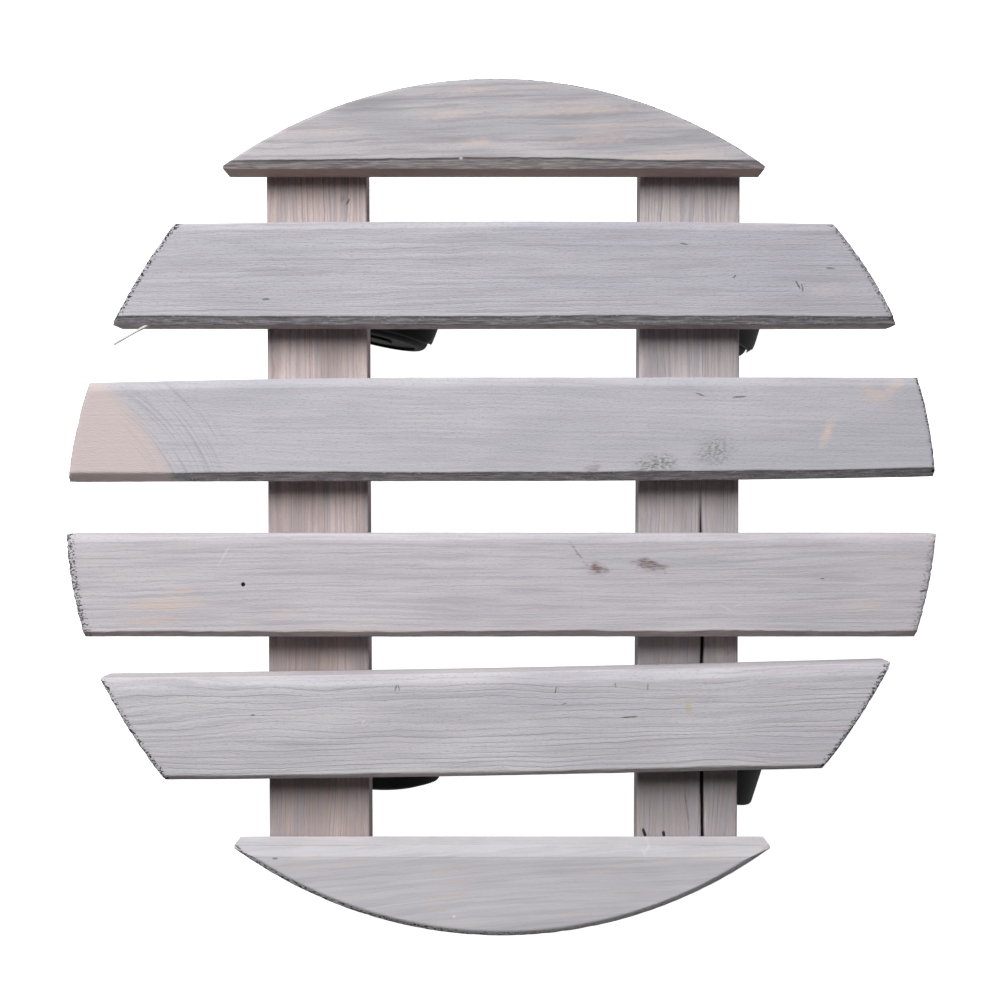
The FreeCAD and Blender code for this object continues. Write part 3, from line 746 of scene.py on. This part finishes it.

# Finish of each board. light and dark are its two washes, and painted_light_slope is how the light one gains
# along it: painted light that makes the slats lighter to the left and the battens lighter to the back,
# towards the lamp.
# bands, fibre, grey, tan and fuzz are how much it shows of late wood, dark fibre, grey streaks, tan streaks
# and fuzz. pit_reach is how far pits go from the sawn ends, in millimetres, and pits how strong they are at
# the first and the last end. On the low edge: warm is its warmer tone, dirt_and_shade is dirt with painted
# shade, as on all slats but the front end one this edge faces away from the lamp, flecks are what lies on it,
# line is the dark line at its top, crest the pale strip above it and side the bare wood on the face below.
PLAIN_LOOK = dict(
    painted_light_slope=-0.0007, warm=0.0, dirt_and_shade=0.0, side=0.0, crest=0.0, flecks=0.0, line=0.0,
)
LOOKS = {
    "slat_back_end": dict(
        PLAIN_LOOK, light=(205, 201, 204), dark=(185, 182, 188),
        bands=0.1, fibre=0.5, grey=0.75, tan=0.75, fuzz=0.6, pit_reach=1.5, pits=(0.3, 0.6),
        warm=0.3, dirt_and_shade=0.6, side=0.7, crest=0.1, line=0.8,
    ),
    "slat_back": dict(
        PLAIN_LOOK, light=(204, 202, 209), dark=(192, 190, 199),
        bands=0.26, fibre=0.35, grey=0.1, tan=0.03, fuzz=0.85, pit_reach=4.0, pits=(1.0, 0.7),
        warm=0.1, dirt_and_shade=0.7, side=0.3, crest=0.25, flecks=0.4, line=0.7,
    ),
    "slat_centre_back": dict(
        PLAIN_LOOK, light=(206, 204, 210), dark=(195, 193, 201),
        bands=0.1, fibre=0.22, grey=0.1, tan=0.05, fuzz=0.68, pit_reach=2.5, pits=(0.1, 1.0),
        warm=0.2, dirt_and_shade=0.6, side=0.3, crest=0.2, flecks=0.5, line=0.6,
    ),
    "slat_centre_front": dict(
        PLAIN_LOOK, light=(213, 208, 213), dark=(202, 198, 205),
        bands=0.16, fibre=0.35, grey=0.15, tan=0.15, fuzz=0.5, pit_reach=6.0, pits=(0.85, 0.3),
        warm=0.7, dirt_and_shade=0.3, side=0.5, crest=0.3, line=0.3,
    ),
    "slat_front": dict(
        PLAIN_LOOK, light=(212, 209, 214), dark=(200, 197, 204),
        bands=0.16, fibre=0.3, grey=0.15, tan=0.1, fuzz=0.65, pit_reach=4.0, pits=(1.0, 0.9),
        warm=0.4, dirt_and_shade=0.2, side=0.3, crest=0.2,
    ),
    "slat_front_end": dict(
        PLAIN_LOOK, light=(212, 210, 215), dark=(201, 199, 204), painted_light_slope=0.0007,
        bands=0.05, fibre=0.2, grey=0.2, tan=0.6, fuzz=0.2, pit_reach=3.0, pits=(0.2, 0.9),
        line=0.25,
    ),
    "batten_left": dict(
        PLAIN_LOOK, light=(207, 190, 185), dark=(170, 155, 150), painted_light_slope=0.0013,
        bands=0.85, fibre=0.65, grey=0.55, tan=0.1, fuzz=0.8, pit_reach=2.0, pits=(0.4, 0.4),
    ),
    "batten_right": dict(
        PLAIN_LOOK, light=(195, 186, 185), dark=(161, 154, 153), painted_light_slope=0.0013,
        bands=0.7, fibre=0.65, grey=0.6, tan=0.05, fuzz=0.8, pit_reach=2.0, pits=(0.4, 0.4),
    ),
}


class WashedWood(Finish):
    """Sanded softwood under a thin pale wash, with year rings, fibre, tan streaks, pitted ends and marks."""

    def __init__(self, name):
        super().__init__(name + "_washed_wood")
        self.look = LOOKS[name]
        self.grain = GRAIN[name]
        self.board = BOARDS[name]
        self.marks = MARKS[name]
        self.seed = float(self.grain["seed"])
        self.along, self.across, self.height = self.attribute("place")
        rings, self.rim_gap, self.side_gap = self.attribute("detail")
        self.split, self.past_bevel, self.low_gap = self.attribute("wear")
        kinks = self.minus(self.field("kinks", self.across), NOISE_MIDDLE)
        self.rings = self.plus(rings, self.times(kinks, KINK_SIZE))
        self.years = self.times(self.rings, 1 / self.grain["ring"])
        # Painted light: the light wash gains along the board, so the slats are lighter to the left and the
        # battens lighter to the back, towards the lamp.
        self.broad = self.plus(self.field("broad", self.across), self.times(self.along, self.look["painted_light_slope"]))
        self.fibre = self.field("fibre", self.rings)
        self.hair = self.field("hair", self.across)
        self.fuzz = self.field("fuzz", self.across)
        self.flecks = self.field("flecks", self.across)
        self.ragged = self.minus(self.field("ragged", self.across), NOISE_MIDDLE)

    def attribute(self, name):
        read = self.node("ShaderNodeAttribute", {}, attribute_name=name)
        return self.parts(read.outputs["Vector"])

    def field(self, kind, across):
        """Noise over the board, of the board's own seed or going through its thickness."""
        along_scale, across_scale, detail, roughness = FIELDS[kind]
        depth = self.seed + FIELD_SEEDS[kind] if kind in FIELD_SEEDS else self.height
        place = self.vector(self.times(self.along, along_scale), self.times(across, across_scale), depth)
        return self.noise(place, detail, roughness)

    def wash(self):
        look = self.look
        late = self.shows(self.math("PINGPONG", self.years, HALF_RING), "late")
        late = self.times(late, self.shows(self.field("late", self.rings), "late_patch"))
        streak = self.field("streak", self.rings)
        shown = self.mix(self.shows(self.broad, "wash"), colour(*look["dark"]), colour(*look["light"]))
        shown = self.over(shown, late, look["bands"], LATE_WOOD)
        shown = self.over(shown, self.shows(self.fibre, "fibre"), look["fibre"], DARK_FIBRE)
        shown = self.over(shown, self.shows(streak, "grey"), look["grey"], DARK_FIBRE)
        shown = self.over(shown, self.shows(streak, "tan"), look["tan"], TAN)
        return self.over(shown, self.shows(self.fuzz, "fuzz"), FUZZ_TINT * look["fuzz"], DARK_FIBRE)

    def with_edges(self, shown):
        look = self.look
        worn = self.shows(self.plus(self.times(self.side_gap, WORN_SCALE), self.ragged), "worn")
        on_bevel = self.shows(self.past_bevel, "bevel")
        crest = self.times(self.shows(self.past_bevel, "crest"), self.minus(1.0, on_bevel))
        dirt_and_shade_share = self.times(on_bevel, self.shows(self.hair, "dirt_and_shade"))
        line = self.times(on_bevel, self.shows(self.past_bevel, "line"))
        flecks = self.times(on_bevel, self.shows(self.flecks, "flecks"))
        shown = self.over(shown, worn, WORN_TINT, EDGE_WOOD)
        shown = self.over(shown, crest, look["crest"], PALE)
        shown = self.over(shown, on_bevel, look["warm"], WARM_EDGE)
        # Dirt with painted shade on the low edge's bevel, which on all slats but the front end one faces away
        # from the lamp.
        shown = self.over(shown, dirt_and_shade_share, look["dirt_and_shade"], DIRT_AND_SHADE)
        shown = self.over(shown, line, look["line"], DIRT_AND_SHADE)
        shown = self.over(shown, self.shows(self.low_gap, "side"), look["side"], SIDE_WOOD)
        return self.over(shown, flecks, look["flecks"], PALE)

    def spot(self, flat, kind, x, y, half_length, half_width, turn):
        """A patch round a point of the deck, 1 inside and 0 outside, and the place within it."""
        middle = self.board.on_board(complex(x, y))
        own_turn = math.radians(turn) - cmath.phase(self.board.line * self.board.spin)
        inputs = {
            "Vector": flat,
            "Location": (middle.real, middle.imag, 0),
            "Rotation": (0, 0, own_turn),
            "Scale": (half_length, half_width, 1),
        }
        inside = self.node("ShaderNodeMapping", inputs, vector_type="TEXTURE").outputs[0]
        away = self.node("ShaderNodeVectorMath", {0: inside}, operation="LENGTH").outputs[1]
        border = self.times(self.ragged, MARK_RAGS.get(kind, PLAIN_RAGS) / math.sqrt(half_width))
        softness = MARK_SOFTNESS.get(kind, PLAIN_SOFTNESS)
        return self.ramp(self.plus(away, border), 1.0, 1.0 - softness), inside

    def scratches(self, inside):
        """Bent lines side by side within a patch."""
        lengthwise, sidewise = self.parts(inside)[:2]
        bent = self.plus(sidewise, self.times(self.times(lengthwise, lengthwise), SCRATCH_BEND))
        stretched = self.times(lengthwise, SCRATCH_LENGTH)
        place = self.vector(stretched, self.times(bent, SCRATCH_COUNT), self.seed)
        return self.shows(self.noise(place, *FINE_NOISE), "scratch")

    def with_marks(self, shown):
        """The open crack and the single marks, and the grooves that go with them; the cracks are painted near
        black as painted shade.
        """
        grooves = self.times(self.split, SPLIT_GROOVE)
        # Painted shade: the open crack is painted near black.
        shown = self.mix(self.shows(self.split, "split"), shown, CRACK_SHADE)
        flat = self.vector(self.along, self.across, 0.0)
        for kind, x, y, half_length, half_width, turn, strength in self.marks:
            share, inside = self.spot(flat, kind, x, y, half_length, half_width, turn)
            if kind == "knot":
                share = self.times(share, self.shows(self.hair, "knot"))
            if kind == "lichen":
                share = self.times(share, self.shows(self.flecks, "lichen"))
            if kind == "scratch":
                share = self.times(share, self.scratches(inside))
            share = self.times(share, strength)
            shown = self.mix(share, shown, MARK_COLOURS[kind])
            if kind == "crack":
                grooves = self.plus(grooves, share)
        return shown, grooves

    def with_end_grain(self, shown):
        sawn_end = self.times(self.shows(self.rim_gap, "sawn_rim"), self.shows(self.height, "sawn_depth"))
        arcs = self.shows(self.math("PINGPONG", self.years, HALF_RING), "end_arcs")
        across = self.times(self.across, END_PORE_SCALE)
        height = self.times(self.height, END_PORE_SCALE)
        pores = self.noise(self.vector(across, height, self.along), *FINE_NOISE)
        end_grain = self.mix(arcs, END_GRAIN, END_LATE)
        end_grain = self.over(end_grain, self.shows(pores, "end_pores"), END_PORE_TINT, DIRT_AND_SHADE)
        return self.over(shown, sawn_end, SAWN_TINT, end_grain)

    def pits(self):
        """Open pores near the sawn ends, on the top face and the edge below it."""
        rim_size, rim_crisp, rim_slope = self.grain["rim"]
        rim_foot = -rim_size * (1 - rim_crisp + rim_crisp * rim_slope)
        above_foot = self.ramp(self.height, rim_foot - PIT_DEPTH, rim_foot)
        near_end = self.times(self.ramp(self.rim_gap, self.look["pit_reach"], 0.0), above_foot)
        first_end, last_end = self.look["pits"]
        towards_last = self.shows(self.along, "end_to_end")
        strength = self.plus(first_end, self.times(towards_last, last_end - first_end))
        crowded = self.plus(self.field("pores", self.across), self.times(near_end, PIT_CROWDING))
        pits = self.times(self.shows(crowded, "pits"), self.shows(near_end, "pit_area"))
        return self.times(pits, strength)

    def ridges(self):
        phase = self.math("FRACT", self.years)
        ridges = self.minus(self.shows(phase, "ridge_rise"), self.shows(phase, "ridge_fall"))
        return self.times(ridges, self.shows(self.field("ridges", self.rings), "ridge_patch"))

    def made(self):
        shown, grooves = self.with_marks(self.with_edges(self.wash()))
        pits = self.pits()
        shown = self.mix(pits, self.with_end_grain(shown), PIT)
        bump = self.plus(self.times(self.fibre, self.look["fibre"]), self.times(self.hair, HAIR_BUMP))
        bump = self.plus(bump, self.times(self.fuzz, FUZZ_BUMP * self.look["fuzz"]))
        bump = self.plus(bump, self.times(self.ridges(), self.grain["relief"] * RIDGE_BUMP))
        bump = self.minus(bump, self.times(self.plus(grooves, pits), GROOVE_BUMP))
        roughness = self.plus(WOOD_ROUGHNESS, self.times(self.broad, WOOD_MOTTLE))
        self.shader.inputs["Specular IOR Level"].default_value = SPECULAR
        return self.end(shown, roughness, bump, BUMP_DEPTH)


# Castors and screws: base, dust and scuffs of each plastic, and the two tones of zinc and its dull spots.
# Noise is given by its detail, roughness and scale.
# The hoods are one black plastic in two copies: darker on the left castors as painted shade under the deck,
# lighter on the right castors as painted light.
SHADED_HOOD = ((22, 23, 23), (60, 60, 57), (36, 38, 37))
LIT_HOOD = ((66, 69, 67), (100, 100, 96), (80, 84, 82))
WHEEL = ((15, 15, 15), (48, 47, 45), (34, 34, 34))
ZINC = ((168, 170, 172), (198, 199, 198), (128, 124, 118))
PLASTIC_BROAD = (3, 0.55, 45.0)
PLASTIC_FINE = (2, 0.6, 900.0)
PLASTIC_SCRATCHES = (4, 0.7, 260.0)
PLASTIC_LIFT = (1.25, 3)
PLASTIC_TINT = 0.35
PLASTIC_ROUGHNESS, PLASTIC_MOTTLE = 0.45, 0.3
SCRATCH_BUMP = 0.5
PLASTIC_BUMP_DEPTH = 0.00008
ZINC_BROAD = (3, 0.6, 120.0)
ZINC_FINE = (3, 0.6, 1400.0)
ZINC_TINT = 0.5
ZINC_ROUGHNESS, ZINC_MOTTLE = 0.28, 0.3
ZINC_BUMP_DEPTH = 0.00004


def moulded_plastic(name, base, dust, scuff):
    """Moulded plastic with a fine texture, scuffs and a little dust in its upper faces."""
    finish = Finish(name)
    here = finish.here()
    facing = finish.node("ShaderNodeNewGeometry", {}).outputs["Normal"]
    upward = finish.parts(facing)[2]
    broad = finish.noise(here, *PLASTIC_BROAD)
    fine = finish.noise(here, *PLASTIC_FINE)
    scratch = finish.noise(here, *PLASTIC_SCRATCHES)
    gain, lift = PLASTIC_LIFT
    lighter = [value * gain + lift for value in base]
    shown = finish.mix(finish.shows(broad, "plastic_mottle"), colour(*base), colour(*lighter))
    shown = finish.over(shown, finish.shows(scratch, "plastic_scuffs"), PLASTIC_TINT, colour(*scuff))
    dusty = finish.times(finish.shows(upward, "plastic_upward"), finish.shows(broad, "plastic_dust"))
    shown = finish.over(shown, dusty, PLASTIC_TINT, colour(*dust))
    finish.shader.inputs["Specular IOR Level"].default_value = SPECULAR
    roughness = finish.plus(PLASTIC_ROUGHNESS, finish.times(broad, PLASTIC_MOTTLE))
    bump = finish.plus(fine, finish.times(scratch, SCRATCH_BUMP))
    return finish.end(shown, roughness, bump, PLASTIC_BUMP_DEPTH)


def zinc_steel(name):
    """Zinc-plated steel with a mottled shine and dull spots."""
    finish = Finish(name)
    here = finish.here()
    broad = finish.noise(here, *ZINC_BROAD)
    fine = finish.noise(here, *ZINC_FINE)
    dark, light, dull = [colour(*tone) for tone in ZINC]
    shown = finish.mix(finish.shows(broad, "zinc_mottle"), dark, light)
    shown = finish.over(shown, finish.shows(fine, "zinc_spots"), ZINC_TINT, dull)
    finish.shader.inputs["Metallic"].default_value = 1.0
    roughness = finish.plus(ZINC_ROUGHNESS, finish.times(broad, ZINC_MOTTLE))
    return finish.end(shown, roughness, fine, ZINC_BUMP_DEPTH)


def dress_boards():
    for name in BOARDS:
        vertices, quads, values = shaped_board(name)
        piece = add_mesh(name + "_board", vertices.tolist(), quads.tolist(), smooth=True)
        for label, value in values.items():
            add_attribute(piece.data, label, value)
        piece.data.materials.append(WashedWood(name).made())
        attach(piece, "deck")
        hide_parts(name)


# The long splinter that stands out from the low edge of the back slat, in millimetres on the deck
SPLINTER_ROOT = Vector((-152.6, 82.2, 82.5))
SPLINTER_BEND = Vector((-161.7, 76.1, 85.5))
SPLINTER_TIP = Vector((-169.6, 71.3, 86.0))
SPLINTER_RADIUS = 0.75
SPLINTER_TAPER = 0.4
SPLINTER_SWELL, SPLINTER_SWELLS = 0.15, 9
SPLINTER_STEPS = 12
SPLINTER_SIDES = 6
# Tones of pale torn wood, lightened further as painted light so that the splinter reads pale beside the
# slat's shaded edge.
PALE_AND_LIT_SPLINTER_TONES = ((224, 214, 206), (242, 236, 230))
SPLINTER_FIBRE = (3, 0.6, 1500.0)
SPLINTER_ROUGHNESS, SPLINTER_MOTTLE = 0.7, 0.2


def splinter_finish():
    """Pale torn wood with fine fibre along it, made paler still as painted light so that it shows pale by the
    slat's shaded edge.
    """
    finish = Finish("splinter_wood")
    fibre = finish.noise(finish.here(), *SPLINTER_FIBRE)
    dark, light = [colour(*tone) for tone in PALE_AND_LIT_SPLINTER_TONES]
    shown = finish.mix(finish.shows(fibre, "splinter"), dark, light)
    roughness = finish.plus(SPLINTER_ROUGHNESS, finish.times(fibre, SPLINTER_MOTTLE))
    return finish.end(shown, roughness, fibre, BUMP_DEPTH)


def add_splinter():
    vertices = []
    to_bend = SPLINTER_BEND - SPLINTER_ROOT
    to_tip = SPLINTER_TIP - SPLINTER_BEND
    for step in range(SPLINTER_STEPS + 1):
        share = step / SPLINTER_STEPS
        centre = SPLINTER_ROOT.lerp(SPLINTER_BEND, share).lerp(SPLINTER_BEND.lerp(SPLINTER_TIP, share), share)
        ahead = to_bend.lerp(to_tip, share).normalized()
        side = ahead.cross(Vector((0, 0, 1))).normalized()
        swell = 1 + SPLINTER_SWELL * math.sin(SPLINTER_SWELLS * share)
        radius = SPLINTER_RADIUS * (1 - SPLINTER_TAPER * share) * swell
        for number in range(SPLINTER_SIDES):
            angle = 2 * math.pi * number / SPLINTER_SIDES
            spoke = math.cos(angle) * side + math.sin(angle) * side.cross(ahead)
            vertices.append(tuple((centre + radius * spoke) * MM))
    last = len(vertices)
    faces = [list(range(SPLINTER_SIDES)), list(range(last - SPLINTER_SIDES, last))[::-1]]
    for step in range(SPLINTER_STEPS):
        low, high = step * SPLINTER_SIDES, (step + 1) * SPLINTER_SIDES
        for number in range(SPLINTER_SIDES):
            after = (number + 1) % SPLINTER_SIDES
            faces.append([low + number, high + number, high + after, low + after])
    splinter = add_mesh("slat_back_splinter", vertices, faces, smooth=False)
    splinter.data.materials.append(splinter_finish())
    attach(splinter, "deck")


def dress_hardware():
    shaded_hood = moulded_plastic("hood_plastic_painted_shade", *SHADED_HOOD)
    lit_hood = moulded_plastic("hood_plastic_painted_light", *LIT_HOOD)
    wheel = moulded_plastic("wheel_plastic", *WHEEL)
    steel = zinc_steel("zinc_steel")
    for name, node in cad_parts.items():
        if name in BOARDS:
            continue
        node.data.materials.clear()
        if "hood" in name:
            # Right castors get the lit copy of the hood plastic and left castors the shaded copy: painted
            # light and painted shade.
            node.data.materials.append(lit_hood if "_right_" in name else shaded_hood)
        elif "wheel" in name:
            node.data.materials.append(wheel)
        else:
            node.data.materials.append(steel)


# Floor: flat round the object, then a low cove that closes the horizon, as radius and height in metres
FLOOR_RINGS = ((3.0, 0.0), (3.6, 0.08), (4.1, 0.3), (4.5, 0.8), (4.6, 1.6), (4.7, 5.0))
FLOOR_SIDES = 64
FLOOR_COLOUR = (0.9, 0.9, 0.9, 1)
FLOOR_ROUGHNESS = 0.9
FLOOR_GLOW = 1.0
WHITE = (1, 1, 1, 1)


def add_floor():
    rounds = []
    for radius, height in FLOOR_RINGS:
        for side in range(FLOOR_SIDES):
            angle = 2 * math.pi * side / FLOOR_SIDES
            rounds.append((radius * math.cos(angle), radius * math.sin(angle), height))
    faces = [list(range(FLOOR_SIDES))]
    for ring in range(len(FLOOR_RINGS) - 1):
        low, high = ring * FLOOR_SIDES, (ring + 1) * FLOOR_SIDES
        for side in range(FLOOR_SIDES):
            after = (side + 1) % FLOOR_SIDES
            faces.append((low + side, low + after, high + after, high + side))
    floor = add_mesh("floor", rounds, faces, smooth=False)
    finish = Finish("floor_paper")
    finish.shader.inputs["Base Color"].default_value = FLOOR_COLOUR
    finish.shader.inputs["Roughness"].default_value = FLOOR_ROUGHNESS
    finish.shader.inputs["Emission Color"].default_value = WHITE
    finish.shader.inputs["Emission Strength"].default_value = FLOOR_GLOW
    floor.data.materials.append(finish.material)
    floor.visible_diffuse = False
    floor.visible_glossy = False
    floor.visible_shadow = False


# One round soft light behind the deck, a little to the left, as strong near as far, and weak light all round
KEY_PLACE = Vector((-0.27, 0.56, 0.70))
KEY_SIZE = 0.66
KEY_POWER = 12.9
SKY_LIGHT = 0.025
GROUND_LIGHT = 0.4
HORIZON = 0.15


def add_light():
    lamp = bpy.data.lights.new("key", "AREA")
    lamp.shape = "DISK"
    lamp.size = KEY_SIZE
    lamp.energy = KEY_POWER
    lamp.use_nodes = True
    nodes, links = lamp.node_tree.nodes, lamp.node_tree.links
    falloff = nodes.new("ShaderNodeLightFalloff")
    falloff.inputs["Strength"].default_value = 1.0
    links.new(falloff.outputs["Constant"], nodes["Emission"].inputs["Strength"])
    light = bpy.data.objects.new("key", lamp)
    light.location = KEY_PLACE
    light.rotation_euler = (Vector((0, 0, DECK_TOP * MM)) - KEY_PLACE).to_track_quat("-Z", "Y").to_euler()
    light.visible_camera = False
    bpy.context.scene.collection.objects.link(light)


def add_world():
    """Weak light from all round, a little stronger from below as from a pale floor."""
    world = bpy.data.worlds.new("studio")
    world.use_nodes = True
    nodes, links = world.node_tree.nodes, world.node_tree.links
    split = nodes.new("ShaderNodeSeparateXYZ")
    level = nodes.new("ShaderNodeMapRange")
    level.inputs["From Min"].default_value = -HORIZON
    level.inputs["From Max"].default_value = HORIZON
    level.inputs["To Min"].default_value = GROUND_LIGHT
    level.inputs["To Max"].default_value = SKY_LIGHT
    links.new(nodes.new("ShaderNodeTexCoord").outputs["Generated"], split.inputs[0])
    links.new(split.outputs[2], level.inputs["Value"])
    nodes["Background"].inputs["Color"].default_value = WHITE
    links.new(level.outputs[0], nodes["Background"].inputs["Strength"])
    bpy.context.scene.world = world


# View of the photograph: straight from above, with the image taken as a square
CAMERA_PLACE = Vector((-0.0004, 0.0031, 0.537))
CAMERA_LENS = 37.05
SENSOR = 36.0


def add_camera():
    camera = bpy.data.objects.new("camera", bpy.data.cameras.new("camera"))
    camera.location = CAMERA_PLACE
    camera.data.lens = CAMERA_LENS
    camera.data.sensor_width = SENSOR
    bpy.context.scene.collection.objects.link(camera)
    bpy.context.scene.camera = camera
    bpy.context.scene.view_settings.view_transform = "Standard"


dress_boards()
add_splinter()
dress_hardware()
add_floor()
add_light()
add_world()
add_camera()
